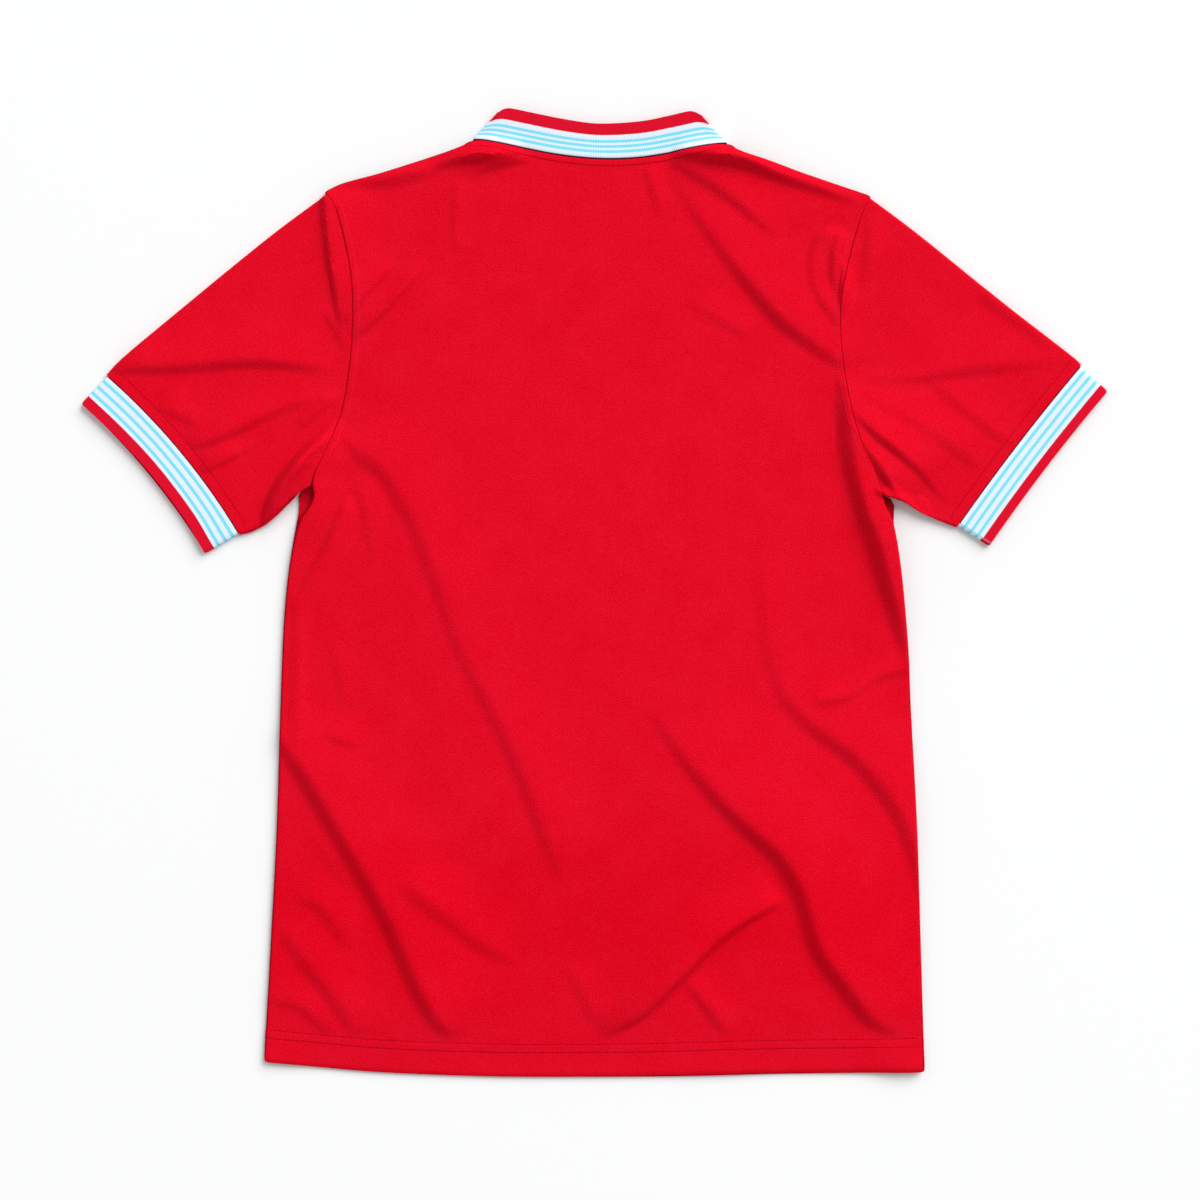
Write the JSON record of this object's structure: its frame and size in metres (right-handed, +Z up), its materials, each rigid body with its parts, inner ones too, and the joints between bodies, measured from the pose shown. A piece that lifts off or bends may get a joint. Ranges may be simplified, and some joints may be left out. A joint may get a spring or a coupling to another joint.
{
  "type": "football jersey",
  "caption": "Short-sleeved red football jersey laid flat with its back up, with white striped rib collar and cuffs.",
  "frame": {"origin": "on the surface that the garment lies on, under the middle of its outline", "axes": "+X towards the wearer's right sleeve, +Y towards the collar, +Z up from the surface, with the back panel on top"},
  "size_m": [0.8198, 0.7738, 0.0132],
  "materials": {
    "jersey": "smooth red jersey knit, matt with a faint sheen",
    "rib": "white rib knit with three thin light blue stripes and a red edge"
  },
  "bodies": {
    "root": {"front": "jersey", "back": "jersey", "sleeve_left": "jersey", "sleeve_right": "jersey", "cuff_left": "rib", "cuff_right": "rib", "collar": "rib"}
  },
  "joints": []
}
